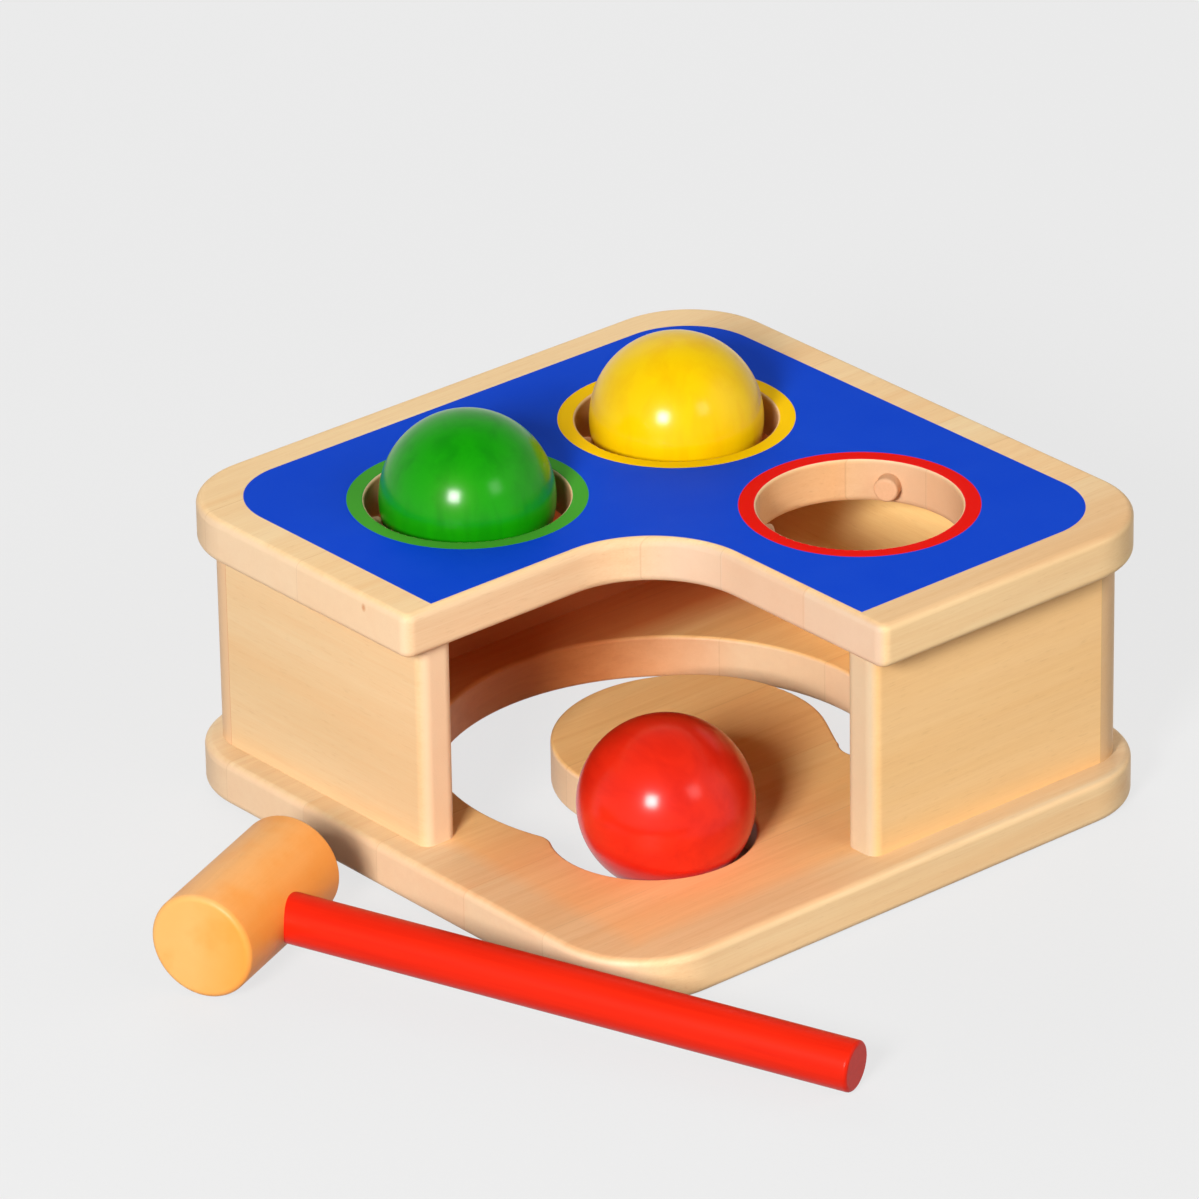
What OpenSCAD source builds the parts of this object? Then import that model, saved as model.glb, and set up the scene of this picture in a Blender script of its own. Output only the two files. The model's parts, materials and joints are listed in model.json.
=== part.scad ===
// Ball pounding bench: two boards held apart by four walls, with three balls that are
// pounded through holes in the top board and roll out at the open corner, and a hammer.
// Turned over, the tapering slot in the other board is a ball run that ends at a drop hole.
// Millimetres. Origin at the middle of the lower board's underside, +Z up.
// The open corner is at +X, -Y.

/* [Boards] */
// Length of each side of the square boards
side = 182; // [170:1:200]
// Thickness of each board
board_t = 12; // [10:0.5:15]
// Radius of the boards' rounded corners
corner_r = 25; // [18:1:30]
// Rounding of the boards' outer edges
edge_r = 2; // [1:0.25:3]
// Height of the walls between the boards
wall_h = 56; // [52:1:64]

/* [Open corner] */
// Distance from the middle to the notch in the top board
notch_at = 8.3; // [4:0.1:10]
// Radius of the notch's inner corner
notch_r = 27; // [20:1:32]
// Vertical rounding of the two tips beside the notch
tip_r = 3; // [2.5:0.5:5]

/* [Ball holes] */
// Distance of each hole from the middle, along X and along Y
hole_at = 35; // [33:0.5:37]
// Diameter of the ball holes
hole_d = 52; // [50:0.5:54]
// Rounding of the edges of the holes and the slot
hole_edge_r = 1; // [0.5:0.25:1.5]
// Rounding of the lower edges of the holes in the top board
hole_under_r = 2; // [1:0.25:3]

/* [Walls] */
// Thickness of the walls
wall_t = 10.5; // [9:0.5:12]
// Distance of the walls' outer faces from the boards' edges
wall_inset = 7.5; // [5:0.5:9]
// Distance by which the front walls' free ends pass the middle
wall_reach = 4.5; // [0:0.5:6]
// Rounding of the vertical edges of those free ends
wall_end_r = 3; // [1:0.5:4]

/* [Ball run] */
// Distance from the ring of hole centres to the slot's outer edge
slot_reach = 10.5; // [9:0.5:12]
// Mean width of the slot
slot_w = 24.2; // [22:0.2:26]
// Shift of the tongue inside the slot along X, which tapers the slot
tongue_x = 2.1; // [0:0.1:3]
// Shift of the tongue inside the slot along Y, which tapers the slot
tongue_y = 6.3; // [5:0.1:8]
// Direction of the slot's narrow end, in degrees from +X
narrow_turn = 46.8; // [42:0.2:54]
// Length of the tongue's straight edge before the slot's narrow end
narrow_straight = 14.5; // [8:0.5:18]
// Rounding of the two corners between the slot and the drop hole
run_corner_r = 7; // [4:0.5:9]

/* [Balls] */
// Diameter of the balls
ball_d = 45; // [44.5:0.5:47]

/* [Pegs] */
// Diameter of the soft pegs that hold a ball in its hole
peg_d = 6.5; // [5:0.5:7]
// Depth of the pegs below the top face
peg_drop = 6.6; // [6:0.1:8]
// Length of a peg inside the board
peg_seat = 9; // [6:0.5:10]
// Rounding of the edges of a peg's ends
peg_edge_r = 0.8; // [0.4:0.1:1.5]
// Direction of the first peg, in degrees from +X
peg_turn = 1; // [0:1:60]

/* [Dowels] */
// Diameter of the glued dowels between walls and boards
dowel_d = 6; // [5:0.5:7]
// Depth of a dowel in a board
dowel_in_board = 7; // [5:0.5:8]
// Depth of a dowel in a wall
dowel_in_wall = 14; // [10:1:18]

/* [Hammer] */
// Diameter of the hammer's head
head_d = 27.6; // [26:0.2:32]
// Length of the hammer's head
head_l = 48; // [44:1:54]
// Rounding of the edges of the head's ends
head_edge_r = 1.5; // [1:0.25:2.5]
// Diameter of the handle
handle_d = 13; // [11:0.5:14]
// Rounding of the edges of the handle's ends
handle_edge_r = 1; // [0.5:0.25:2]
// Length of the handle from the head's axis to its free end
handle_reach = 165.4; // [140:0.2:180]
// Depth of the handle's hole past the head's axis
handle_seat = 6; // [4:0.5:8]
// Place of the hammer's head along X
head_x = 0.3; // [-10:0.1:10]
// Distance of the hammer's head from the bench
head_away = 46.4; // [40:0.2:60]
// Direction of the handle on the table, in degrees from +X
hammer_turn = 23.2; // [10:0.2:26]

/* [Hidden] */
$fn = 96;
// Cuts run past a face by this much
over = 1;
// Gaps between a ball and the pegs or the rim that it rests on
peg_gap = 0.05;
rim_gap = 0.15;
half = side / 2;
top_z = board_t + wall_h;
top_face = top_z + board_t;
wall_out = half - wall_inset;
wall_in = wall_out - wall_t;
wall_mid = wall_out - wall_t / 2;
hole_r = hole_d / 2;
ball_r = ball_d / 2;
slot_r = hole_at * sqrt(2) + slot_reach;
run_edges = [hole_edge_r, hole_edge_r];
tongue_r = slot_r - slot_w;
tongue_spot = [tongue_x, tongue_y];
// The round of the slot's narrow end touches the slot's outer circle and the straight edge, which
// leaves the tongue's circle; its cut is a little wider so that it meets both
narrow_over = 0.1;
narrow_way = [cos(narrow_turn), sin(narrow_turn)];
both_r = slot_r + tongue_r;
narrow_far = (pow(both_r, 2) + pow(narrow_straight, 2) - pow(norm(tongue_spot), 2))
    / (2 * (both_r - tongue_spot * narrow_way));
narrow_spot = narrow_far * narrow_way;
narrow_r = slot_r - narrow_far;
// Direction square to the straight edge, and the edge's end at the round
narrow_from = unit(narrow_spot - tongue_spot);
straight_turn = atan2(narrow_from[1], narrow_from[0]) + atan2(narrow_straight, tongue_r + narrow_r);
straight_end = narrow_spot - narrow_r * [cos(straight_turn), sin(straight_turn)];
// The drop hole, and the middles of the two rounded corners beside it: each round stands a
// little into the slot and into the hole, so that it meets their sides
drop_spot = [hole_at, -hole_at];
corner_over = 0.1;
corner_reach = run_corner_r - corner_over;
outer_corner = meeting([0, 0], slot_r + corner_reach, drop_spot, hole_r + corner_reach);
tongue_corner = meeting(tongue_spot, tongue_r - corner_reach, drop_spot, hole_r + corner_reach);
// A ball rests on the rounded upper edges of three pegs, with its middle level with the top face
peg_r = peg_d / 2;
peg_edge_drop = peg_drop - peg_r + peg_edge_r;
peg_end = sqrt(pow(ball_r + peg_edge_r + peg_gap, 2) - pow(peg_edge_drop, 2)) - peg_edge_r;
// The red ball stands on the table inside the drop hole and leans on its rim
rim_r = sqrt(pow(ball_r, 2) - pow(ball_r - board_t, 2));
red_lean = hole_r - rim_r - rim_gap;
red_turn = -6;
head_r = head_d / 2;
handle_r = handle_d / 2;
handle_tilt = asin((head_r - handle_r) / handle_reach);
hole_spots = [[-hole_at, -hole_at], [-hole_at, hole_at], [hole_at, hole_at]];
// Each wall's two dowel places
front_left_dowels = [for (f = [0.2, 0.8]) [-wall_in + f * (wall_in + wall_reach), -wall_mid]];
front_right_dowels = [for (f = [0.2, 0.8]) [wall_mid, wall_in - f * (wall_in + wall_reach)]];
back_left_dowels = [for (f = [0.2, 0.8]) [-wall_mid, -wall_out + f * (wall_in + wall_out)]];
back_right_dowels = [for (f = [0.2, 0.8]) [-wall_out + f * 2 * wall_out, wall_mid]];
all_dowels = concat(front_left_dowels, front_right_dowels, back_left_dowels, back_right_dowels);
beech = [0.93, 0.76, 0.56];

// Point at the distance ra from a and rb from b, on the right of the way from a to b
function meeting(a, ra, b, rb) =
    let (
        way = unit(b - a),
        apart = norm(b - a),
        along = (pow(ra, 2) - pow(rb, 2) + pow(apart, 2)) / (2 * apart)
    )
    a + along * way + sqrt(pow(ra, 2) - pow(along, 2)) * [way[1], -way[0]];

function unit(v) = v / norm(v);

// Cross-section of a board's rim: a strip from x = 0 to depth with its outer corners rounded
module rim_section(depth, t, r) {
    difference() {
        square([depth, t]);
        for (m = [0, 1])
            translate([depth - r, t / 2])
                mirror([0, m])
                    translate([0, t / 2 - r])
                        difference() {
                            square(r + over);
                            circle(r);
                        }
    }
}

// Cross-section of a hole: a strip from x = 0 to size that flares out by the radius given for
// its lower face and for its upper face
module hole_section(size, t, radii) {
    translate([0, -over])
        square([size, t + 2 * over]);
    for (m = [0, 1])
        translate([size, t / 2])
            mirror([0, 1 - m])
                translate([0, t / 2 - radii[m]])
                    difference() {
                        square([radii[m], radii[m] + over]);
                        translate([radii[m], 0])
                            circle(radii[m]);
                    }
}

// Round board with a rounded rim
module rim_disc(size, t, r) {
    rotate_extrude()
        rim_section(size, t, r);
}

// Round hole with flared edges
module flared_hole(size, t, radii) {
    rotate_extrude()
        hole_section(size, t, radii);
}

// One side of a board: a bar whose outer edge lies on x = 0 and is rounded, from y = 0 to len
module rim_bar(len, depth, t, r) {
    translate([0, len, 0])
        rotate([90, 0, 0])
            linear_extrude(len)
                translate([-depth, 0])
                    rim_section(depth, t, r);
}

// Board from lo to hi with rounded edges; radii are for the -X-Y, +X-Y, +X+Y and -X+Y corners
module board(lo, hi, radii, t, r) {
    deep = max(radii) + over;
    corners = [[lo[0], lo[1], 1, 1], [hi[0], lo[1], -1, 1], [hi[0], hi[1], -1, -1], [lo[0], hi[1], 1, -1]];
    spots = [for (i = [0:3]) let (c = corners[i]) [c[0] + c[2] * radii[i], c[1] + c[3] * radii[i]]];
    for (i = [0:3])
        translate(spots[i])
            rim_disc(radii[i], t, r);
    translate([hi[0], spots[1][1], 0])
        rim_bar(spots[2][1] - spots[1][1], deep, t, r);
    translate([lo[0], spots[3][1], 0])
        rotate([0, 0, 180])
            rim_bar(spots[3][1] - spots[0][1], deep, t, r);
    translate([spots[2][0], hi[1], 0])
        rotate([0, 0, 90])
            rim_bar(spots[2][0] - spots[3][0], deep, t, r);
    translate([spots[0][0], lo[1], 0])
        rotate([0, 0, -90])
            rim_bar(spots[1][0] - spots[0][0], deep, t, r);
    translate([lo[0] + max(radii), lo[1] + max(radii), 0])
        cube([hi[0] - lo[0] - 2 * max(radii), hi[1] - lo[1] - 2 * max(radii), t]);
}

// Top board: two arms at a right angle, with a rounded inner corner between them
module angle_board(t, r) {
    board([-half, -half], [notch_at, half], [corner_r, tip_r, tip_r, corner_r], t, r);
    board([-half, -notch_at], [half, half], [tip_r, tip_r, corner_r, corner_r], t, r);
    difference() {
        translate([0, -notch_at - notch_r, 0])
            cube([notch_at + notch_r, notch_at + notch_r, t]);
        translate([notch_at + notch_r, -notch_at - notch_r, 0])
            flared_hole(notch_r, t, [r, r]);
    }
}

module at_pegs(spot) {
    for (k = [0:2])
        peg_place(spot, k)
            children();
}

// Frame of one peg: +X runs outward into the board from the hole's axis
module peg_place(spot, k) {
    translate([spot[0], spot[1], top_face - peg_drop])
        rotate([0, 0, peg_turn + 120 * k])
            children();
}

// Soft peg that stands out into the hole
module peg(spot, k) {
    color([0.95, 0.76, 0.56])
        peg_place(spot, k)
            translate([peg_end, 0, 0])
                rotate([0, 90, 0])
                    stick(hole_r + peg_seat - peg_end, peg_r, peg_edge_r);
}

// Sockets for all dowels that enter a board, from its face at z
module dowel_sockets(z) {
    for (p = all_dowels)
        translate([p[0], p[1], z])
            cylinder(2 * dowel_in_board, dowel_d / 2, dowel_d / 2, center = true);
}

// Dowels of one wall, in both boards
module wall_dowels(spots) {
    color([0.88, 0.72, 0.50])
        for (p = spots, z = [board_t - dowel_in_board, top_z - dowel_in_wall])
            translate([p[0], p[1], z])
                cylinder(dowel_in_board + dowel_in_wall, dowel_d / 2, dowel_d / 2);
}

// Holes for a wall's dowels
module wall_holes(spots) {
    for (p = spots, z = [board_t, top_z])
        translate([p[0], p[1], z])
            cylinder(2 * dowel_in_wall, dowel_d / 2, dowel_d / 2, center = true);
}

// Wall with square ends, from lo to hi
module plain_wall(lo, hi) {
    translate([lo[0], lo[1], board_t])
        cube([hi[0] - lo[0], hi[1] - lo[1], wall_h]);
}

// Upright quarter-round end of a wall: c is its axis, and the round faces towards dx, dy
module round_end(c, dx, dy) {
    intersection() {
        translate([c[0], c[1], board_t])
            cylinder(wall_h, wall_t, wall_t);
        translate([min(c[0], c[0] + dx * wall_t), min(c[1], c[1] + dy * wall_t), board_t])
            cube([wall_t, wall_t, wall_h]);
    }
}

// Wall with its end at the mouth rounded on both upright edges; it runs along X from -len to 0
module mouth_wall(len) {
    r = wall_end_r;
    translate([-len, 0, 0])
        cube([len - r, wall_t, wall_h]);
    translate([-len, r, 0])
        cube([len, wall_t - 2 * r, wall_h]);
    for (y = [r, wall_t - r])
        translate([-r, y, 0])
            cylinder(wall_h, r, r);
}

module top_board() {
    color([0.10, 0.27, 0.70])
        difference() {
            translate([0, 0, top_z])
                angle_board(board_t, edge_r);
            for (p = hole_spots) {
                translate([p[0], p[1], top_z])
                    flared_hole(hole_r, board_t, [hole_under_r, hole_edge_r]);
                at_pegs(p)
                    translate([peg_end, 0, 0])
                        rotate([0, 90, 0])
                            cylinder(hole_r + peg_seat - peg_end, peg_r, peg_r);
            }
            dowel_sockets(top_z);
        }
}

// Wood that a cut in the lower board leaves standing: a rounded disc with its faces run past
module kept_round(size) {
    rim_disc(size, board_t, hole_edge_r);
    translate([0, 0, -2 * over])
        cylinder(board_t + 4 * over, size - hole_edge_r, size - hole_edge_r);
}

// The same for a straight edge, from y = 0 to len with the wood on the side of -X
module kept_straight(len, depth) {
    rim_bar(len, depth, board_t, hole_edge_r);
    translate([-depth, 0, -2 * over])
        cube([depth - hole_edge_r, len, board_t + 4 * over]);
}

// Cut that rounds a corner of the wood: c is the round's middle, and the ways a and b lead from it
// to the two sides that meet there
module corner_cut(c, a, b) {
    reach = run_corner_r + over;
    tip = unit(unit(a) + unit(b));
    difference() {
        translate([c[0], c[1], -over])
            linear_extrude(board_t + 2 * over)
                polygon([[0, 0], reach * unit(a), 2 * reach * tip, reach * unit(b)]);
        translate(c)
            kept_round(run_corner_r);
    }
}

// The slot between its outer circle and the tongue, left out between the narrow end and the drop hole
module run_slot() {
    difference() {
        flared_hole(slot_r, board_t, run_edges);
        translate(tongue_spot)
            kept_round(tongue_r);
        translate(straight_end)
            rotate([0, 0, straight_turn])
                kept_straight(narrow_straight, narrow_r);
        translate([0, 0, -2 * over])
            linear_extrude(board_t + 4 * over)
                polygon([[0, 0], side * narrow_way, [2 * side, 0], [side, -side]]);
    }
}

module bottom_board() {
    color(beech)
        difference() {
            board([-half, -half], [half, half], [corner_r, corner_r, corner_r, corner_r], board_t, edge_r);
            run_slot();
            translate(narrow_spot)
                flared_hole(narrow_r + narrow_over, board_t, run_edges);
            translate(drop_spot)
                flared_hole(hole_r, board_t, run_edges);
            corner_cut(outer_corner, -outer_corner, drop_spot - outer_corner);
            corner_cut(tongue_corner, tongue_corner - tongue_spot, drop_spot - tongue_corner);
            dowel_sockets(board_t);
        }
}

module wall_front_left() {
    color(beech)
        difference() {
            translate([wall_reach, -wall_out, board_t])
                mouth_wall(wall_in + wall_reach);
            wall_holes(front_left_dowels);
        }
}

module wall_front_right() {
    color(beech)
        difference() {
            translate([wall_out, -wall_reach, board_t])
                rotate([0, 0, -90])
                    mirror([0, 1, 0])
                        mouth_wall(wall_in + wall_reach);
            wall_holes(front_right_dowels);
        }
}

// The left end of this wall shows beside the front left wall and rounds the corner
module wall_back_left() {
    color(beech)
        difference() {
            union() {
                plain_wall([-wall_out, -wall_in], [-wall_in, wall_in]);
                round_end([-wall_in, -wall_in], -1, -1);
            }
            wall_holes(back_left_dowels);
        }
}

// Both ends of this wall show and round their corners
module wall_back_right() {
    color(beech)
        difference() {
            union() {
                plain_wall([-wall_in, wall_in], [wall_in, wall_out]);
                round_end([wall_in, wall_in], 1, 1);
                round_end([-wall_in, wall_in], -1, 1);
            }
            wall_holes(back_right_dowels);
        }
}

module ball_at(spot, z, paint) {
    color(paint)
        translate([spot[0], spot[1], z])
            sphere(ball_r);
}

module green_ball() {
    ball_at(hole_spots[0], top_face, [0.13, 0.60, 0.10]);
}

module yellow_ball() {
    ball_at(hole_spots[1], top_face, [0.98, 0.80, 0.02]);
}

module red_ball() {
    spot = [hole_at + red_lean * cos(red_turn), -hole_at + red_lean * sin(red_turn)];
    ball_at(spot, ball_r, [0.90, 0.16, 0.08]);
}

// Frame of the hammer: +X runs along the handle from the head's axis, +Y along the head
module hammer_place() {
    translate([head_x, -half - head_away, head_r])
        rotate([0, 0, hammer_turn])
            rotate([0, handle_tilt, 0])
                children();
}

// Turned stick along +Z with rounded ends
module stick(len, size, r) {
    rotate_extrude() {
        square([size - r, len]);
        translate([0, r])
            square([size, len - 2 * r]);
        for (z = [r, len - r])
            translate([size - r, z])
                circle(r);
    }
}

module hammer_head() {
    color([0.95, 0.73, 0.45])
        hammer_place()
            difference() {
                rotate([90, 0, 0])
                    translate([0, 0, -head_l / 2])
                        stick(head_l, head_r, head_edge_r);
                translate([-handle_seat, 0, 0])
                    rotate([0, 90, 0])
                        cylinder(handle_seat + head_d, handle_r, handle_r);
            }
}

module hammer_handle() {
    color([0.88, 0.14, 0.06])
        hammer_place()
            translate([-handle_seat, 0, 0])
                rotate([0, 90, 0])
                    stick(handle_reach + handle_seat, handle_r, handle_edge_r);
}

top_board();
bottom_board();
wall_front_left();
wall_front_right();
wall_back_left();
wall_back_right();
green_ball();
yellow_ball();
red_ball();
peg(hole_spots[0], 0);  // green_peg_1
peg(hole_spots[0], 1);  // green_peg_2
peg(hole_spots[0], 2);  // green_peg_3
peg(hole_spots[1], 0);  // yellow_peg_1
peg(hole_spots[1], 1);  // yellow_peg_2
peg(hole_spots[1], 2);  // yellow_peg_3
peg(hole_spots[2], 0);  // red_peg_1
peg(hole_spots[2], 1);  // red_peg_2
peg(hole_spots[2], 2);  // red_peg_3
wall_dowels(front_left_dowels);  // dowels_front_left
wall_dowels(front_right_dowels);  // dowels_front_right
wall_dowels(back_left_dowels);  // dowels_back_left
wall_dowels(back_right_dowels);  // dowels_back_right
hammer_head();
hammer_handle();
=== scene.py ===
# %% [markdown]
# # Ball pounding bench: the looks
#
# The bench is a wooden toy: two boards held apart by four walls, three lacquered balls and a
# hammer. The packed model already has every piece at its true size and place, with turned
# and rounded edges, so the shapes stay and this lesson is about finishes: clear-lacquered
# wood with its grain, a screen print, gloss lacquer and rubber, each written as a node tree.
#
# Everything is in metres, in the frame of the packed model: the origin is the middle of the
# lower board's underside, +Z is up, and the open corner points to +X and -Y.

# %% Load the frame
import json
import math

import bpy
from mathutils import Euler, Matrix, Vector

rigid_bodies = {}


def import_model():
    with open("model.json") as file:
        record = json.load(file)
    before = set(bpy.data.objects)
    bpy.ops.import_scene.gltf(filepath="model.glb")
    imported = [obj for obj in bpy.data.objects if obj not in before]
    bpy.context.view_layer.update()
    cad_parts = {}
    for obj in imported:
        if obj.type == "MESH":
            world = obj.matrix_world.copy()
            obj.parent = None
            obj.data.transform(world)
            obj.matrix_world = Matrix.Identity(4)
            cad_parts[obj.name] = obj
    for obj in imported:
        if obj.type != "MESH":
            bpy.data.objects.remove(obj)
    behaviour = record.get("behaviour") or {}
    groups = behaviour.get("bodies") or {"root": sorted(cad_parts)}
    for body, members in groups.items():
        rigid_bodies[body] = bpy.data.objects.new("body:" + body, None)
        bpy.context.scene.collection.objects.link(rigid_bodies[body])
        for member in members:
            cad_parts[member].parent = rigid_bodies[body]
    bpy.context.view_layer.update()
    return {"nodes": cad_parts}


for leftover in list(bpy.data.objects):
    bpy.data.objects.remove(leftover)
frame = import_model()
nodes = frame["nodes"]
bpy.ops.object.select_all(action="DESELECT")

# %% [markdown]
# ## Camera
#
# The picture was taken with a long lens from about a metre above the table and two metres
# away, looking at the open corner. A long lens keeps the board's far edges almost as long as
# the near ones. The place and the lens below come from fitting the bench's edges.

# %% Camera
CAMERA_PLACE = (1.56706, -1.34962, 1.06579)
CAMERA_TURN = (63.8913, 0.8577, 49.2994)
CAMERA_LENS, SENSOR_WIDTH = 273.17, 36
SIGHT_END = 50

camera_data = bpy.data.cameras.new("camera")
camera_data.lens = CAMERA_LENS
camera_data.sensor_width = SENSOR_WIDTH
camera_data.clip_end = SIGHT_END
camera = bpy.data.objects.new("camera", camera_data)
camera.location = CAMERA_PLACE
camera.rotation_euler = Euler([math.radians(a) for a in CAMERA_TURN])
bpy.context.scene.collection.objects.link(camera)
bpy.context.scene.camera = camera
bpy.context.scene.view_settings.view_transform = "Standard"
print("camera distance:", round(camera.location.length, 3), "m")

# %% [markdown]
# ## A small shader writer
#
# A finish is a node tree, and a tree written node by node is hard to read. The class Value
# wraps one output socket and overloads Python's operators, so that `1 - mask` or
# `(x * x + y * y) ** 0.5` adds the Math nodes by itself. Its methods `below` and `above` make
# masks: 1 on one side of a limit, 0 on the other, with a soft edge between. The limit and the
# width of the edge often come as a pair.

# %% Value
class Value:
    """An output socket that takes part in Python expressions."""

    def __init__(self, writer, socket):
        self.writer, self.socket = writer, socket

    def other(self, name):
        """Another output of the same node."""
        return Value(self.writer, self.socket.node.outputs[name])

    def math(self, operation, *others, clamp=False):
        settings = {"operation": operation, "use_clamp": clamp}
        sockets = dict(enumerate((self,) + others))
        return self.writer.node("ShaderNodeMath", settings, sockets)

    def swapped(self, operation, other):
        settings = {"operation": operation}
        return self.writer.node("ShaderNodeMath", settings, {0: other, 1: self})

    def __add__(self, other):
        return self.math("ADD", other)

    def __sub__(self, other):
        return self.math("SUBTRACT", other)

    def __mul__(self, other):
        return self.math("MULTIPLY", other)

    def __truediv__(self, other):
        return self.math("DIVIDE", other)

    def __pow__(self, other):
        return self.math("POWER", other)

    def __rsub__(self, other):
        return self.swapped("SUBTRACT", other)

    def __abs__(self):
        return self.math("ABSOLUTE")

    __radd__ = __add__
    __rmul__ = __mul__

    def most(self, other):
        return self.math("MAXIMUM", other)

    def least(self, other):
        return self.math("MINIMUM", other)

    def clamped(self):
        return self.math("ADD", 0.0, clamp=True)

    def below(self, limit, soft):
        """1 where this is below the limit and 0 above it, over a soft edge of that width."""
        return (0.5 - (self - limit) / soft).clamped()

    def above(self, limit, soft):
        return ((self - limit) / soft + 0.5).clamped()


def far(a, b):
    """Distance from where both values are 0. Plain numbers work too."""
    return (a * a + b * b) ** 0.5


print("distance of 3 and 4:", far(3.0, 4.0))

# %% [markdown]
# The class Writer adds nodes to one tree. Its method `node` adds any node, the settings first
# and then the sockets, and the other methods are short names for what comes up often.

# %% Writer
MIX_MASK, MIX_UNDER, MIX_OVER, MIX_RESULT = 0, 6, 7, 2


class Writer:
    """Writes nodes into one node tree."""

    def __init__(self, tree):
        self.tree = tree

    def node(self, kind, settings=None, sockets=None, out=0):
        made = self.tree.nodes.new(kind)
        for key, setting in (settings or {}).items():
            if key == "stops":
                ramp = made.color_ramp.elements
                while len(ramp) < len(setting):
                    ramp.new(1.0)
                for stop, (at, colour) in zip(ramp, setting):
                    stop.position, stop.color = at, colour
            elif key == "interpolation":
                made.color_ramp.interpolation = setting
            else:
                setattr(made, key, setting)
        for key, fed in (sockets or {}).items():
            self.feed(made.inputs[key], fed)
        return Value(self, made.outputs[out])

    def feed(self, socket, fed):
        if isinstance(fed, Value):
            self.tree.links.new(fed.socket, socket)
        else:
            socket.default_value = fed

    def parts(self, vector):
        split = self.node("ShaderNodeSeparateXYZ", None, {0: vector})
        return [split.other(axis) for axis in "XYZ"]

    def joined(self, a, b, c):
        return self.node("ShaderNodeCombineXYZ", None, {0: a, 1: b, 2: c})

    def mix(self, mask, under, over, blend="MIX"):
        settings = {"data_type": "RGBA", "blend_type": blend}
        sockets = {MIX_MASK: mask, MIX_UNDER: under, MIX_OVER: over}
        return self.node("ShaderNodeMix", settings, sockets, out=MIX_RESULT)

    def toned(self, mask, colour, tone):
        """The colour, multiplied by the tone where the mask is 1."""
        return self.mix(mask, colour, tone, "MULTIPLY")

    def noise(self, place, scale, detail=2.0, rough=0.5, distort=0.0):
        sockets = {"Vector": place, "Scale": scale, "Detail": detail, "Roughness": rough,
                   "Distortion": distort}
        return self.node("ShaderNodeTexNoise", None, sockets)

    def seen(self):
        """1 on what the camera sees, also in a reflection or through glass."""
        path = self.node("ShaderNodeLightPath", out="Is Camera Ray")
        return path.most(path.other("Is Glossy Ray")).most(path.other("Is Transmission Ray"))


print("Writer:", ", ".join(name for name in vars(Writer) if not name.startswith("_")))

# %% [markdown]
# Finish is the Writer of one material, and puts it on the nodes of the packed model by name.
# Colours are written as a screen shows them, and are turned into the linear light that a
# socket takes.

# %% Finish and colours
class Finish(Writer):
    """One material on the Principled shader, placed by Object coordinates."""

    def __init__(self, name):
        self.material = bpy.data.materials.new(name)
        self.material.use_nodes = True
        super().__init__(self.material.node_tree)
        self.shader = self.tree.nodes["Principled BSDF"]

    def place(self):
        return self.node("ShaderNodeTexCoord", out="Object")

    def set(self, **sockets):
        """Feed the shader: names with spaces are written with underscores."""
        for key, fed in sockets.items():
            self.feed(self.shader.inputs[key.replace("_", " ")], fed)

    def bump(self, height, strength, distance):
        sockets = {"Strength": strength, "Distance": distance, "Height": height}
        self.set(Normal=self.node("ShaderNodeBump", None, sockets))

    def put_on(self, *names):
        for name in names:
            nodes[name].material_slots[0].material = self.material
        print("finish", self.material.name, "on", ", ".join(names), "-",
              len(self.tree.nodes), "nodes")


def srgb(red, green, blue):
    """A colour as a screen shows it, 0 to 255, as the linear colour that a socket takes."""
    linear = []
    for level in (red / 255, green / 255, blue / 255):
        linear.append(level / 12.92 if level < 0.04045 else ((level + 0.055) / 1.055) ** 2.4)
    return (*linear, 1.0)


print("middle grey in linear light:", [round(v, 3) for v in srgb(128, 128, 128)])

# %% [markdown]
# ## Floor and light
#
# The toy stands on a pale sheet under soft studio light. The floor is one wide plate, and it
# keeps the shadow. A share of it glows towards the camera and in reflections, which keeps it
# pale in the shade under the bench without putting more light on the toy. Its base has two
# tones for the same reason: a pale one where it is seen, and a dimmer one for the light that
# it throws back at the toy. One small spot doesn't glow: the corner of the drop hole behind
# the red ball, where the ball's shadow falls, so the floor is dark there as a painted shadow.

# %% Floor
FLOOR_HALF, FLOOR_DROP = 4.0, 0.0002
PALE = srgb(241, 241, 241)
GLOW_SHARE, GLOW_STRENGTH = 0.84, 1.0
THROWN_TONES = (srgb(122, 122, 122), srgb(132, 132, 132))
SEEN_TONES = (srgb(202, 202, 202), srgb(212, 212, 212))
SPECKLE_SCALE = 900.0
SHADOW_SPOT_AT, SHADOW_SPOT = (0.046, -0.014), (0.016, 0.010)

bpy.ops.mesh.primitive_plane_add(size=2 * FLOOR_HALF, location=(0, 0, -FLOOR_DROP))
floor = bpy.context.active_object
floor.name = "floor"
bpy.ops.object.transform_apply(location=True, rotation=True, scale=True)
sheet = Finish("pale_sheet")
seen = sheet.seen()
speckle = sheet.noise(sheet.place(), SPECKLE_SCALE)
base = sheet.mix(seen, sheet.mix(speckle, *THROWN_TONES), sheet.mix(speckle, *SEEN_TONES))
sheet.set(Base_Color=base, Roughness=0.9, Specular_IOR_Level=0.1)
glow = sheet.node("ShaderNodeEmission", None, {"Color": PALE, "Strength": GLOW_STRENGTH})
floor_x, floor_y = sheet.parts(sheet.place())[:2]
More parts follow.
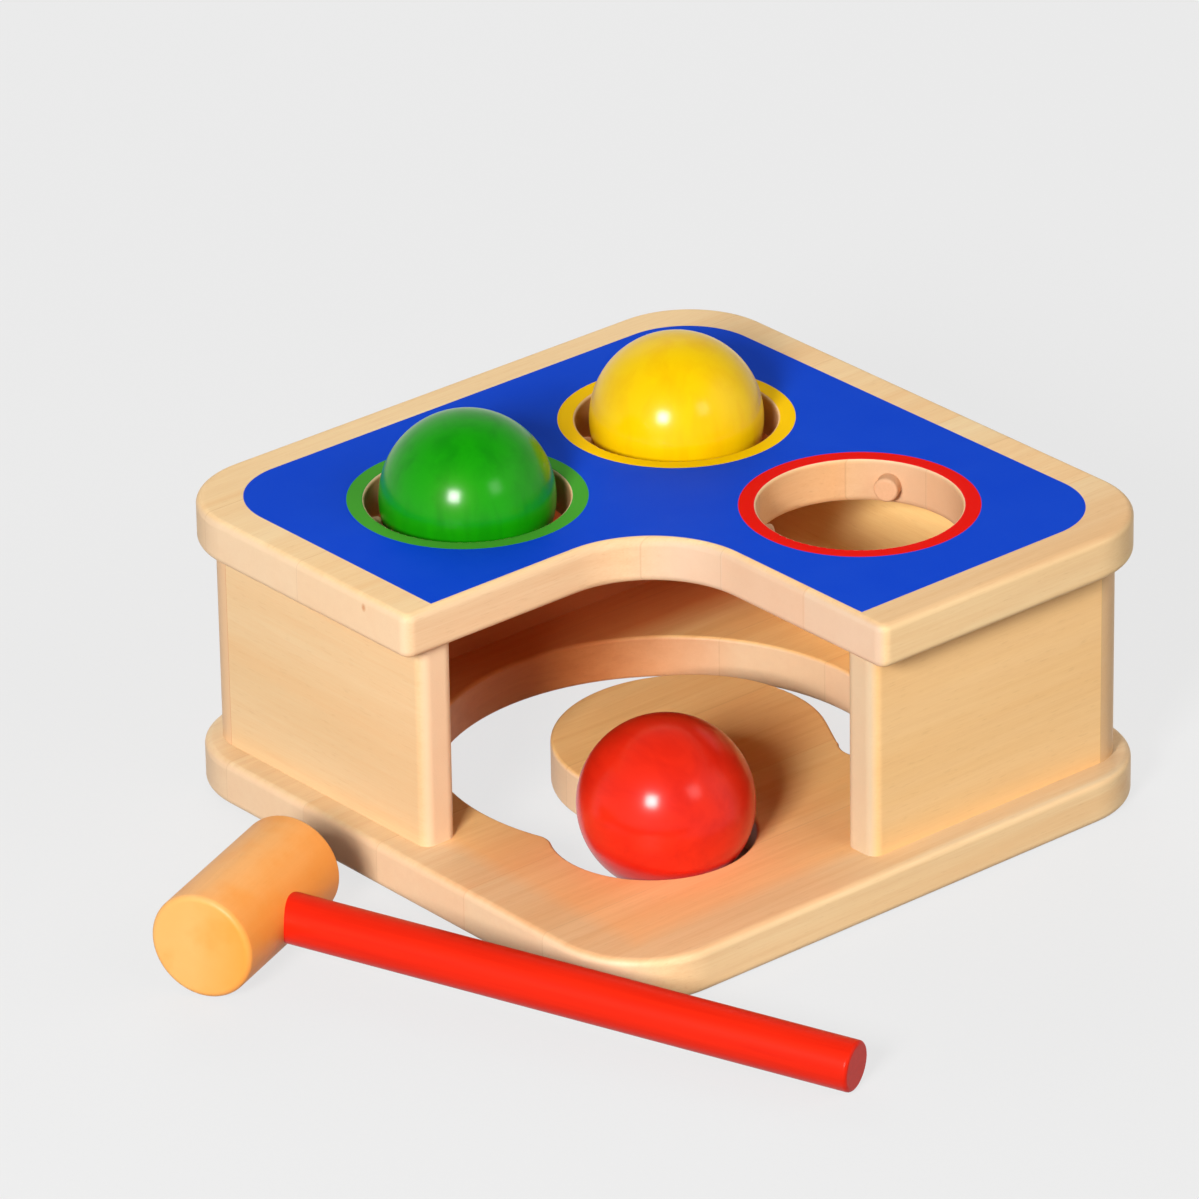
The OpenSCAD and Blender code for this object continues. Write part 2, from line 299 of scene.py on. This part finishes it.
# painted shadow: no glow in a spot by the red ball, so the floor is dark there
lit = far(floor_x - SHADOW_SPOT_AT[0], floor_y - SHADOW_SPOT_AT[1]).above(*SHADOW_SPOT)
blend = sheet.node("ShaderNodeMixShader", None, {
    0: seen * lit * GLOW_SHARE, 1: Value(sheet, sheet.shader.outputs[0]), 2: glow})
sheet.feed(sheet.tree.nodes["Material Output"].inputs["Surface"], blend)
floor.data.materials.append(sheet.material)
print("floor:", 2 * FLOOR_HALF, "m wide")

# %% [markdown]
# The world is pale in the same way for the background. Its own light is kept low, so that the
# inside of the bench stays in deep shade.

# %% World
WHITE = (1.0, 1.0, 1.0, 1.0)
AMBIENT = 0.05
HORIZON_SHOWN, ZENITH_SHOWN = 0.90, 0.10

world = bpy.data.worlds.new("studio")
world.use_nodes = True
bpy.context.scene.world = world
sky = Writer(world.node_tree)
rise = sky.parts(sky.node("ShaderNodeTexCoord", out="Generated"))[2].most(0.0)
light = sky.node("ShaderNodeBackground", None, {"Color": WHITE, "Strength": AMBIENT})
shown = sky.node("ShaderNodeBackground", None, {
    "Color": PALE, "Strength": rise * (ZENITH_SHOWN - HORIZON_SHOWN) + HORIZON_SHOWN})
choice = sky.node("ShaderNodeMixShader", None, {0: sky.seen(), 1: light, 2: shown})
sky.feed(sky.tree.nodes["World Output"].inputs["Surface"], choice)
print("light of the world:", AMBIENT)

# %% [markdown]
# The balls tell where the lamps stood: a highlight on a ball is a small mirror image of a
# lamp. The key lamp is left of the camera and about as high, and a weak one is to the right.
# The inside of the bench is lit by the key lamp alone, so what brightens the right wall and
# the top comes from behind: a lamp on the right and one on the left, both wide. They left no
# highlight, so they are hidden from the gloss. Each is a square area lamp, which gives
# soft-edged shadows.

# %% Lamps
AIM = Vector((0.0, 0.0, 0.04))
# name, azimuth, elevation, distance, size, power, seen in the gloss
LAMPS = [("key_lamp", -60.5, 25.5, 1.5, 0.34, 26.0, True),
         ("side_lamp", 2.0, 32.0, 1.6, 0.40, 2.6, True),
         ("back_right_lamp", 44.0, 27.0, 1.6, 1.10, 8.4, False),
         ("back_left_lamp", 152.0, 28.0, 1.6, 1.10, 14.0, False)]


def add_lamp(name, azimuth, elevation, distance, size, power, in_gloss):
    """Area lamp in that direction from the bench, in degrees from +X and above the table."""
    turn, rise = math.radians(azimuth), math.radians(elevation)
    level = math.cos(rise)
    way = Vector((math.cos(turn) * level, math.sin(turn) * level, math.sin(rise)))
    data = bpy.data.lights.new(name, "AREA")
    data.size, data.energy = size, power
    made = bpy.data.objects.new(name, data)
    made.location = AIM + way * distance
    made.rotation_euler = way.to_track_quat("Z", "Y").to_euler()
    made.visible_glossy = in_gloss
    bpy.context.scene.collection.objects.link(made)
    print(name, [round(v, 2) for v in made.location])


for row in LAMPS:
    add_lamp(*row)

# %% [markdown]
# ## Wood
#
# The boards are glued up from strips of pale hardwood whose grain runs along Y, and the walls
# are single planks with level grain. Wood is a solid figure: long fibres, broad bands, warmer
# flames, growth rings round a far-off pith and small dark pores. The same three-dimensional
# pattern is cut by every face, so a long face shows streaks and an end shows speckle and arcs,
# as on real wood. Stretching noise along the grain gives all of it, and no face needs to be
# mapped.

# %% Wood figure
MM = 1000.0
X_AXIS, Y_AXIS, Z_AXIS = 0, 1, 2
CREAM, HONEY, END_PINK = srgb(252, 222, 174), srgb(247, 206, 152), srgb(231, 201, 170)
PORE, STREAK, FLAME = srgb(178, 112, 66), srgb(222, 162, 104), srgb(238, 168, 94)
# each pattern's scale along the grain and across it
BANDS, FLAMES, STREAKS = (5.0, 55.0), (4.0, 42.0), (13.0, 430.0)
FIBRES, DOTS = (90.0, 2600.0), (260.0, 2100.0)
BAND_START, BAND_GAIN, BAND_DRIFT = 0.28, 2.0, 3.7
FLAME_START, FLAME_GAIN, FLAME_SHARE, FLAME_DRIFT = 0.50, 4.5, 0.24, 5.1
RING_SPACING, RING_WAVE, RING_SHARE = 0.0042, 0.012, 0.12
PITH_ACROSS, PITH_STEP, PITH_UP = 0.061, 0.017, 0.083
STREAK_START, FIBRE_SHARE = 0.40, 0.35
PORE_LIMIT, PORE_SHARE = (0.70, 0.12), 0.10
END_LIMIT, END_SHARE = (0.66, 0.4), 0.7
FIBRE_RISE, PORE_DIP = 0.6, 0.8


def wood_figure(finish, place, grain, seed, pale=CREAM, deep=HONEY, end=END_PINK, streaky=0.5):
    """Colour, height and fibres of wood that grew along axis number `grain` of `place`."""
    axes = finish.parts(place)
    along = axes[grain]
    across, up = [axes[i] for i in range(3) if i != grain]

    def drawn_out(scales, shifts, **settings):
        """Noise that changes slowly along the grain and fast across it."""
        ways = [along * scales[0], across * scales[1], up * scales[1]]
        moved = [way + shift if shift else way for way, shift in zip(ways, shifts)]
        return finish.noise(finish.joined(*moved), 1.0, **settings)

    bands = drawn_out(BANDS, (BAND_DRIFT * seed, seed, 0), detail=3.0, rough=0.55, distort=0.5)
    flames = drawn_out(FLAMES, (FLAME_DRIFT * seed, 0, seed), distort=0.9)
    streaks = drawn_out(STREAKS, (seed, 0, 0), detail=4.0, rough=0.6)
    fibres = drawn_out(FIBRES, (seed, 0, 0))
    pores = drawn_out(DOTS, (seed, 0, 0), detail=1.0).above(*PORE_LIMIT)
    from_pith = far(across + PITH_ACROSS + PITH_STEP * seed, up + PITH_UP) + bands * RING_WAVE
    rings = (from_pith * (2 * math.pi / RING_SPACING)).math("SINE") * 0.5 + 0.5
    flamed = ((flames - FLAME_START) * FLAME_GAIN).clamped()
    colour = finish.mix((bands - BAND_START) * BAND_GAIN, pale, deep)
    colour = finish.mix(flamed * FLAME_SHARE, colour, FLAME)
    colour = finish.mix(rings * RING_SHARE, colour, deep)
    colour = finish.mix((streaks - STREAK_START) * streaky, colour, STREAK)
    colour = finish.mix((fibres - STREAK_START) * FIBRE_SHARE, colour, STREAK)
    colour = finish.mix(pores * PORE_SHARE, colour, PORE)
    facing = finish.node("ShaderNodeNewGeometry", out="Normal")
    ends = abs(finish.parts(facing)[grain]).above(*END_LIMIT)
    colour = finish.mix(ends * END_SHARE, colour, end)
    return colour, fibres * FIBRE_RISE - pores * PORE_DIP, fibres


print("wood: ring spacing", RING_SPACING * MM, "mm, fibres about", round(MM / FIBRES[1], 1),
      "mm wide")

# %% [markdown]
# Clear satin lacquer covers the bare wood. It is a little rougher along the fibres, and the
# fibres and pores can be felt through it as a very low relief.

# %% Satin lacquer
SATIN, SATIN_VARIES, SATIN_SHINE = 0.40, 0.16, 0.35
GRAIN_BUMP = (0.12, 0.0003)


def satin_roughness(fibres):
    return SATIN + fibres * SATIN_VARIES


def satin(finish, colour, height, fibres):
    finish.set(Base_Color=colour, Roughness=satin_roughness(fibres),
               Specular_IOR_Level=SATIN_SHINE)
    finish.bump(height, *GRAIN_BUMP)


print("satin roughness:", SATIN, "to", round(SATIN + SATIN_VARIES, 2))

# %% [markdown]
# A board is several strips glued edge to edge. Each strip comes from another plank, so its
# tone and its figure change at the glue line, and the line itself shows as a hair of darker
# glue. A ramp with constant steps over X holds the strips: its colour is the strip's tone, and
# its alpha is a number that shifts the figure.

# %% Glued strips
HALF = 91.0
GLUE, GLUE_LINE, GLUE_SHARE, GLUE_DIP = srgb(176, 118, 74), (0.12, 0.12), 0.18, 0.5
FIRST_SHIFT, NEXT_SHIFT = 0.13, 0.29
SHIFT_ALONG, SHIFT_UP = 3.0, 0.4


def strips(finish, x, edges, tones):
    """Tone, shift of the figure and glue lines of a board, from x in millimetres."""
    starts = [-HALF] + edges
    stops = [((start + HALF) / (2 * HALF), (*tone, FIRST_SHIFT + NEXT_SHIFT * i % 1.0))
             for i, (start, tone) in enumerate(zip(starts, tones))]
    settings = {"interpolation": "CONSTANT", "stops": stops}
    tone = finish.node("ShaderNodeValToRGB", settings, {0: (x + HALF) / (2 * HALF)})
    shift = tone.other("Alpha")
    nearest = abs(x - edges[0])
    for edge in edges[1:]:
        nearest = nearest.least(abs(x - edge))
    return tone, shift, nearest.below(*GLUE_LINE)


def board_wood(finish, edges, tones, seed, streaky):
    """Wood of a glued-up board, and its place in millimetres."""
    place = finish.place()
    x, y, z = [axis * MM for axis in finish.parts(place)]
    tone, shift, glue = strips(finish, x, edges, tones)
    moved = finish.node("ShaderNodeVectorMath", {"operation": "ADD"}, {
        0: place, 1: finish.joined(0.0, shift * SHIFT_ALONG, shift * SHIFT_UP)})
    colour, height, fibres = wood_figure(finish, moved, Y_AXIS, seed, streaky=streaky)
    colour = finish.toned(1.0, colour, tone)
    colour = finish.mix(glue * GLUE_SHARE, colour, GLUE)
    return colour, height - glue * GLUE_DIP, fibres, (x, y, z)


print("glue lines:", 2 * GLUE_LINE[0], "mm wide")

# %% [markdown]
# ## Top board
#
# Its strips are close in tone. Further tones are laid over the wood: painted shade on the
# underside and round the notch, whose edge the lamps light more, and a deeper tone along the
# right end of the top face. A small brown fleck in the front left edge is part of the wood.

# %% Wood of the top board
TOP_EDGES = [-72.0, -34.5, 13.5, 31.5, 62.0]
TOP_TONES = [(1.0, 0.99, 0.97), (1.0, 1.0, 1.0), (1.0, 0.985, 0.965), (0.985, 1.0, 1.0),
             (1.0, 0.965, 0.93), (0.985, 1.0, 1.0)]
TOP_SEED, TOP_STREAKY = 0.31, 0.5
NOTCH_AT, NOTCH_R = 8.3, 27.0
NOTCH_EDGE, NOTCH_SHADE = (NOTCH_R + 0.8, 1.0), (0.89, 0.87, 0.94, 1.0)
UNDERSIDE, UNDERSIDE_SHADE = (68.3, 0.4), (0.74, 0.52, 0.44, 1.0)
RIGHT_END, UPPER_RIM, RIGHT_TONE = (66.0, 30.0), (79.3, 0.6), (0.93, 0.87, 0.85, 1.0)
FLECK_AT, FLECK_R, FLECK_SQUASH = (-8.2, 77.0), (0.6, 0.7), 0.7
FLECK_SIDE, FLECK_SHARE, FLECK_BROWN = (-90.0, 0.5), 0.6, srgb(196, 112, 54)

top = Finish("blue_print_on_wood")
wood, grain_height, fibres, (x, y, z) = board_wood(top, TOP_EDGES, TOP_TONES, TOP_SEED,
                                                   TOP_STREAKY)
to_notch = far((NOTCH_AT + NOTCH_R - x).most(0.0), (NOTCH_AT + NOTCH_R + y).most(0.0))
# painted shade round the notch's edge and on the underside
wood = top.toned(to_notch.below(*NOTCH_EDGE), wood, NOTCH_SHADE)
wood = top.toned(z.below(*UNDERSIDE), wood, UNDERSIDE_SHADE)
wood = top.toned(x.above(*RIGHT_END) * z.above(*UPPER_RIM), wood, RIGHT_TONE)
from_fleck = far(x - FLECK_AT[0], (z - FLECK_AT[1]) * FLECK_SQUASH)
fleck = from_fleck.below(*FLECK_R) * y.below(*FLECK_SIDE)
wood = top.mix(fleck * FLECK_SHARE, wood, FLECK_BROWN)
print("top board:", len(TOP_TONES), "strips")

# %% [markdown]
# A blue field is screen printed on the top face, with a coloured ring round each hole that
# says which ball goes there. It stops short of the outer edges and runs up to the notch, and
# all edges stay bare. The print has sharp outlines that follow simple figures, so it is
# written as distances: a square with round corners, less the notch, and three rings. Cut
# geometry isn't needed for ink a few hundredths of a millimetre thick.

# %% Ink
INK_EDGE = 0.14
INK_CLOUDS, CLOUD_START, CLOUD_GAIN = 70.0, 0.3, 1.5
INK_GRAIN, INK_ROUGH, INK_VARIES = 2600.0, 0.44, 0.12
INK_FILLS, INK_TEXTURE, INK_THICK = 0.7, 0.3, 0.4


def in_round_square(x, y, half, r):
    """1 inside a square with round corners."""
    reach = half - r
    return far((abs(x) - reach).most(0.0), (abs(y) - reach).most(0.0)).below(r, INK_EDGE)


def ink(finish, full, thin):
    """Ink that lies a little thinner in soft clouds."""
    clouds = finish.noise(finish.place(), INK_CLOUDS, detail=3.0)
    return finish.mix((clouds - CLOUD_START) * CLOUD_GAIN, full, thin)


def print_roughness(fibres, ink_grain, inked):
    """Satin wood where there is no ink, and the ink's own roughness where there is."""
    bare = satin_roughness(fibres) * (1.0 - inked)
    return bare + (INK_ROUGH + ink_grain * INK_VARIES) * inked


print("ink: outlines", INK_EDGE, "mm soft")

# %% [markdown]
# Each ring is a disc of its colour with a bare disc inside. The holes' walls are wood too,
# with painted shade inside the bore, deeper in the two that hold a ball, where the ball shades
# them.

# %% Blue field and rings
FIELD_HALF, FIELD_R, FIELD_GAP = 81.15, 20.5, 2.2
TOP_FACE, TOP_SHINE = (79.9, 0.05), 0.04
RING_IN, RING_OUT = 26.4, 30.6
HOLE_WALL, HOLE_RIM = (26.5, 0.3), (79.6, 0.5)
OPEN_WALL_SHADE, FILLED_WALL_SHADE = (0.84, 0.72, 0.66, 1.0), (0.58, 0.44, 0.36, 1.0)
BLUE, PALER_BLUE = srgb(8, 68, 204), srgb(18, 74, 206)
RINGS = [((-35.0, -35.0), srgb(70, 160, 46), FILLED_WALL_SHADE),
         ((-35.0, 35.0), srgb(254, 203, 4), FILLED_WALL_SHADE),
         ((35.0, 35.0), srgb(235, 20, 8), OPEN_WALL_SHADE)]

on_top = z.above(*TOP_FACE)
beside_notch = to_notch.above(NOTCH_R + FIELD_GAP, INK_EDGE)
inked = in_round_square(x, y, FIELD_HALF, FIELD_R) * beside_notch * on_top
colour = top.mix(inked, wood, ink(top, BLUE, PALER_BLUE))
for (hole_x, hole_y), ring_colour, wall_shade in RINGS:
    radius = far(x - hole_x, y - hole_y)
    colour = top.mix(radius.below(RING_OUT, INK_EDGE) * on_top, colour, ring_colour)
    bare = radius.below(RING_IN, INK_EDGE)
    colour = top.mix(bare, colour, wood)
    inked = inked * (1.0 - bare)
    # painted shade on the hole's wall and rim
    colour = top.toned(radius.below(*HOLE_WALL) * z.below(*HOLE_RIM), colour, wall_shade)
ink_grain = top.noise(top.place(), INK_GRAIN)
top.set(Base_Color=colour, Roughness=print_roughness(fibres, ink_grain, inked),
        Specular_IOR_Level=TOP_SHINE)
relief = grain_height * (1.0 - inked * INK_FILLS)
top.bump(relief + ink_grain * inked * INK_TEXTURE + inked * INK_THICK, *GRAIN_BUMP)
top.put_on("top_board")

# %% [markdown]
# ## Lower board
#
# The lower board is warmer. Its upper face has painted shade, a deeper orange, in front of and
# beside the drop hole. Of the ledges outside the walls the left one is paler, and the right
# one has painted shade where the lamp behind on the right lights it more. The inner back left
# corner and the slot's outer wall on the left have a brown painted shade for the deep shade in
# the bench.

# %% Wood of the lower board
LOW_EDGES = [-66.0, -35.0, -6.0, 28.0, 58.0]
LOW_TONES = [(0.99, 0.95, 0.91), (1.0, 0.96, 0.93), (0.98, 0.92, 0.86), (1.0, 0.93, 0.88),
             (0.98, 0.95, 0.91), (1.0, 0.98, 0.95)]
LOW_SEED, LOW_STREAKY = 0.77, 0.8
UPPER_FACE, UPPER_TONE = (11.5, 0.6), (1.04, 0.95, 0.73, 1.0)
FRONT_SHADE_X, FRONT_SHADE_Y, FRONT_SHADE_TONE = (14.0, 34.0), (-4.0, 40.0), (1.03, 0.76, 0.62, 1.0)
LEDGE, LEDGE_TURN, FRONT_SHADE_KEPT = (77.0, 6.0), (40.0, 50.0), 0.6
LEFT_LEDGE, RIGHT_LEDGE_SHADE = (0.88, 0.95, 1.06, 1.0), (0.76, 0.80, 0.89, 1.0)
CORNER_X, CORNER_OUT, CORNER_SHADE = (-50.0, 12.0), (74.0, 2.0), (0.88, 0.48, 0.36, 1.0)
RUN_WALL, RUN_LEFT, RUN_SHADE = (56.0, 2.0), (-44.0, 28.0), (1.0, 0.48, 0.26, 1.0)
INSET_HALF, INSET_R = 84.0, 18.0

low = Finish("yellow_print_under_wood")
wood, grain_height, fibres, (x, y, z) = board_wood(low, LOW_EDGES, LOW_TONES, LOW_SEED,
                                                   LOW_STREAKY)
outer = abs(x).most(abs(y))
# painted shade in front of and beside the drop hole
front_shade = x.above(*FRONT_SHADE_X) * y.below(*FRONT_SHADE_Y)
# the right ledge has painted shade where the lamp behind on the right lights it
ledge = low.mix(x.above(*LEDGE_TURN), LEFT_LEDGE, RIGHT_LEDGE_SHADE)
tone = low.mix(front_shade, UPPER_TONE, FRONT_SHADE_TONE)
tone = low.mix(outer.above(*LEDGE) * (1.0 - front_shade * FRONT_SHADE_KEPT), tone, ledge)
# painted shade in the inner back left corner
tone = low.toned(x.below(*CORNER_X) * outer.below(*CORNER_OUT), tone, CORNER_SHADE)
run_wall = far(x, y).above(*RUN_WALL) * in_round_square(x, y, INSET_HALF, INSET_R)
# painted shade on the left of the slot's outer wall
colour = low.toned(run_wall * x.below(*RUN_LEFT), wood, RUN_SHADE)
colour = low.mix(z.above(*UPPER_FACE), colour, low.toned(1.0, wood, tone))
print("lower board:", len(LOW_TONES), "strips")

# %% [markdown]
# Turned over, the toy is a ball run, and that face is printed too: a yellow field with a red
# line round the slot and the drop hole. The line is the slot's own outline grown by a few
# millimetres: a wide circle less the tongue, without the wedge that the slot leaves out, and
# the two round ends.

# %% The run's outline
SLOT_R, TONGUE_R, TONGUE_AT = 60.0, 35.8, (2.1, 6.3)
NARROW_AT, NARROW_R = (35.6, 37.9), 8.0
DROP_AT, DROP_R = (35.0, -35.0), 26.0
LINE_W = 3.4
NARROW_TURN = math.atan2(NARROW_AT[1], NARROW_AT[0])
STRAIGHT_TURN = math.radians(61.7)

past_narrow = (y * math.cos(NARROW_TURN) - x * math.sin(NARROW_TURN)).above(0.0, INK_EDGE)
past_drop = (x + y).below(0.0, INK_EDGE)
run = far(x, y).below(SLOT_R + LINE_W, INK_EDGE)
run = run * far(x - TONGUE_AT[0], y - TONGUE_AT[1]).above(TONGUE_R - LINE_W, INK_EDGE)
out_x, out_y = math.cos(STRAIGHT_TURN), math.sin(STRAIGHT_TURN)
straight_at = NARROW_AT[0] * out_x + NARROW_AT[1] * out_y - NARROW_R - LINE_W
inward = (x * out_x + y * out_y).below(straight_at, INK_EDGE)
towards_narrow = ((x - TONGUE_AT[0]) * out_y - (y - TONGUE_AT[1]) * out_x).above(0.0, INK_EDGE)
run = run * (1.0 - towards_narrow * y.above(0.0, INK_EDGE) * inward)
run = run * past_narrow.most(past_drop)
run = run.most(far(x - NARROW_AT[0], y - NARROW_AT[1]).below(NARROW_R + LINE_W, INK_EDGE))
run = run.most(far(x - DROP_AT[0], y - DROP_AT[1]).below(DROP_R + LINE_W, INK_EDGE))
print("line round the run:", LINE_W, "mm wide")

# %% Yellow field
LOW_HALF, LOW_R = 85.0, 19.0
LOWER_FACE = (0.1, 0.05)
YELLOW, DEEPER_YELLOW = srgb(250, 202, 4), srgb(246, 194, 2)
LINE_RED = srgb(226, 52, 20)

field = in_round_square(x, y, LOW_HALF, LOW_R) * z.below(*LOWER_FACE)
colour = low.mix(field, colour, ink(low, YELLOW, DEEPER_YELLOW))
colour = low.mix(field * run, colour, LINE_RED)
ink_grain = low.noise(low.place(), INK_GRAIN)
low.set(Base_Color=colour, Roughness=print_roughness(fibres, ink_grain, field),
        Specular_IOR_Level=SATIN_SHINE)
low.bump(grain_height * (1.0 - field * INK_FILLS), *GRAIN_BUMP)
low.put_on("bottom_board")

# %% [markdown]
# ## Walls
#
# Each wall is one plank with level grain. Two run along X and two along Y, and each gets its
# own seed so that no two show the same figure. The inner faces get a brown painted shade for
# the shade inside the bench. On the back right wall the painted shade fades out towards the
# open corner, where a golden tone is left.

# %% Wall wood
INSIDE = (73.12, 0.1)
INNER_SHADE, GOLDEN_TONE = (0.76, 0.38, 0.30, 1.0), (1.0, 0.96, 0.68, 1.0)
GOLDEN_WALL, SHADED_PART = "wall_back_right", (-34.0, 44.0)
# name, axis of the grain, seed, pale, deep and end colour, share of the inner golden tone and
# painted shade
WALLS = [("wall_front_left", X_AXIS, 0.42, srgb(235, 203, 157), srgb(229, 190, 139),
          srgb(240, 204, 168), 0.5),
         ("wall_front_right", Y_AXIS, 0.15, srgb(250, 208, 150), srgb(245, 196, 130),
          srgb(198, 184, 160), 0.5),
         ("wall_back_left", Y_AXIS, 0.66, srgb(246, 200, 144), srgb(240, 182, 120),
          srgb(228, 190, 150), 0.9),
         ("wall_back_right", X_AXIS, 0.93, srgb(255, 226, 178), srgb(251, 213, 158),
          srgb(210, 162, 112), 0.9)]

for wall, grain, seed, pale, deep, end, share in WALLS:
    plank = Finish(wall + "_wood")
    colour, height, fibres = wood_figure(plank, plank.place(), grain, seed, pale, deep, end)
    axes = plank.parts(plank.place())
    across = Y_AXIS if grain == X_AXIS else X_AXIS
    inside = abs(axes[across] * MM).below(*INSIDE) * share
    if wall == GOLDEN_WALL:
        colour = plank.toned(inside, colour, GOLDEN_TONE)
        inside = inside * (axes[X_AXIS] * MM).below(*SHADED_PART)
    # painted shade: a deeper brown on the inner faces
    colour = plank.toned(inside, colour, INNER_SHADE)
    satin(plank, colour, height, fibres)
    plank.put_on(wall)

# %% [markdown]
# ## Balls
#
# The balls are turned wood under gloss lacquer. The lacquer is a little see-through, so the
# grain shows as faint darker clouds, and its surface has a fine ripple. A clear coat over the
# colour gives the sharp highlight, and the base under it the wide soft one.

# %% Lacquer
BALL_LONG, BALL_CROSS = 30.0, 140.0
BALL_START, BALL_GAIN = 0.42, 2.2
RIPPLE_SCALE, RIPPLE_BUMP = 420.0, (0.05, 0.0004)
BALL_CLEAR = 0.65
# name, bright and dim colour, axis of the grain, tint of the soft highlight
LACQUERS = [("green_ball", srgb(14, 148, 4), srgb(2, 124, 6), Z_AXIS, srgb(255, 220, 110)),
            ("yellow_ball", srgb(242, 198, 0), srgb(235, 180, 0), Z_AXIS, srgb(255, 240, 150)),
            ("red_ball", srgb(220, 38, 15), srgb(200, 24, 9), X_AXIS, srgb(255, 170, 190))]


def gloss(finish, colour, ripple, sheen, clear):
    finish.set(Base_Color=colour, Roughness=0.45, Specular_IOR_Level=0.12, Specular_Tint=sheen,
               Coat_Weight=clear, Coat_Roughness=0.20, Coat_IOR=1.4)
    finish.bump(ripple, *RIPPLE_BUMP)


for ball, bright, dim, grain, sheen in LACQUERS:
    coat = Finish(ball + "_lacquer")
    stretched = [axis * (BALL_LONG if i == grain else BALL_CROSS)
                 for i, axis in enumerate(coat.parts(coat.place()))]
    clouds = coat.noise(coat.joined(*stretched), 1.0, detail=3.0, rough=0.6, distort=0.4)
    tint = coat.mix((clouds - BALL_START) * BALL_GAIN, bright, dim)
    gloss(coat, tint, coat.noise(coat.place(), RIPPLE_SCALE), sheen, BALL_CLEAR)
    coat.put_on(ball)

# %% [markdown]
# ## Pegs and dowels
#
# Soft pegs of pale rubber hold each ball until it is hit. They are matt, with a fine moulded
# grain. The dowels are raw wood inside the joints, and show only when the toy is taken apart.

# %% Rubber
RUBBER_TONES = (srgb(216, 166, 124), srgb(226, 178, 138))
RUBBER_GRAIN, RUBBER_ROUGH, RUBBER_VARIES = 1900.0, 0.62, 0.2
RUBBER_BUMP = (0.1, 0.0002)

rubber = Finish("pale_rubber")
grains = rubber.noise(rubber.place(), RUBBER_GRAIN)
rubber.set(Base_Color=rubber.mix(grains, *RUBBER_TONES),
           Roughness=RUBBER_ROUGH + grains * RUBBER_VARIES, Specular_IOR_Level=0.3)
rubber.bump(grains, *RUBBER_BUMP)
rubber.put_on(*[f"{name}_peg_{k}" for name in ("green", "yellow", "red") for k in (1, 2, 3)])

# %% Raw dowels
DOWEL_SEED, DOWEL_DEEP = 0.5, srgb(224, 178, 128)
SIDES = ("front_left", "front_right", "back_left", "back_right")

raw = Finish("raw_dowel_wood")
satin(raw, *wood_figure(raw, raw.place(), Z_AXIS, DOWEL_SEED, deep=DOWEL_DEEP))
raw.put_on(*[f"dowels_{side}" for side in SIDES])

# %% [markdown]
# ## Hammer
#
# The hammer lies askew on the table, so its finish is written in its own frame: X along the
# handle, Y along the head. A Mapping node turns the pattern there. The head is one piece of
# wood with its grain along it, and it deepens to orange on the side of the handle.

# %% Head
HEAD_AT = (0.0003, -0.1374, 0.0138)
HEAD_RISE, TIP_RISE, HANDLE_REACH = 13.8, 6.5, 165.4
HAMMER_TURN = math.radians(23.2)
HANDLE_TILT = math.asin((HEAD_RISE - TIP_RISE) / HANDLE_REACH)
HEAD_PALE, HEAD_DEEP, HEAD_END = srgb(246, 190, 126), srgb(240, 174, 104), srgb(236, 174, 92)
HEAD_SEED, HEAD_STREAKY = 0.58, 0.8
BLOTCH_SCALE, BLOTCH_START, BLOTCH_GAIN, BLOTCH_SHARE = 75.0, 0.46, 4.0, 0.5
BLOTCH_ORANGE, HANDLE_SIDE_ORANGE = srgb(236, 146, 52), srgb(250, 150, 40)
HANDLE_SIDE, HANDLE_SIDE_SHARE = (5.0, 14.0), 0.7


def hammer_place(finish):
    """Place in the hammer's own frame."""
    turn = (0.0, HANDLE_TILT, HAMMER_TURN)
    return finish.node("ShaderNodeMapping", {"vector_type": "TEXTURE"}, {
        "Vector": finish.place(), "Location": HEAD_AT, "Rotation": turn})


head = Finish("hammer_head_wood")
spot = hammer_place(head)
colour, height, fibres = wood_figure(head, spot, Y_AXIS, HEAD_SEED, HEAD_PALE, HEAD_DEEP,
                                     HEAD_END, HEAD_STREAKY)
blotch = head.noise(spot, BLOTCH_SCALE, detail=3.0, rough=0.6)
blotched = ((blotch - BLOTCH_START) * BLOTCH_GAIN).clamped()
colour = head.mix(blotched * BLOTCH_SHARE, colour, BLOTCH_ORANGE)
handle_side = (head.parts(spot)[X_AXIS] * MM).above(*HANDLE_SIDE)
colour = head.mix(handle_side * HANDLE_SIDE_SHARE, colour, HANDLE_SIDE_ORANGE)
satin(head, colour, height, fibres)
head.put_on("hammer_head")

# %% [markdown]
# The handle has red gloss lacquer with a thinner clear coat than the balls. Its grain runs
# along it and shows through as faint streaks.

# %% Handle
HANDLE_LONG, HANDLE_CROSS = 30.0, 700.0
HANDLE_START, HANDLE_GAIN, HANDLE_CLEAR = 0.35, 1.2, 0.15
HANDLE_BRIGHT, HANDLE_DIM = srgb(222, 36, 12), srgb(202, 24, 8)
HANDLE_SHEEN = srgb(255, 190, 170)

handle = Finish("handle_lacquer")
along, across, up = handle.parts(hammer_place(handle))
stretched = handle.joined(along * HANDLE_LONG, across * HANDLE_CROSS, up * HANDLE_CROSS)
streaks = handle.noise(stretched, 1.0, detail=3.0)
red = handle.mix((streaks - HANDLE_START) * HANDLE_GAIN, HANDLE_BRIGHT, HANDLE_DIM)
gloss(handle, red, streaks, HANDLE_SHEEN, HANDLE_CLEAR)
handle.put_on("hammer_handle")
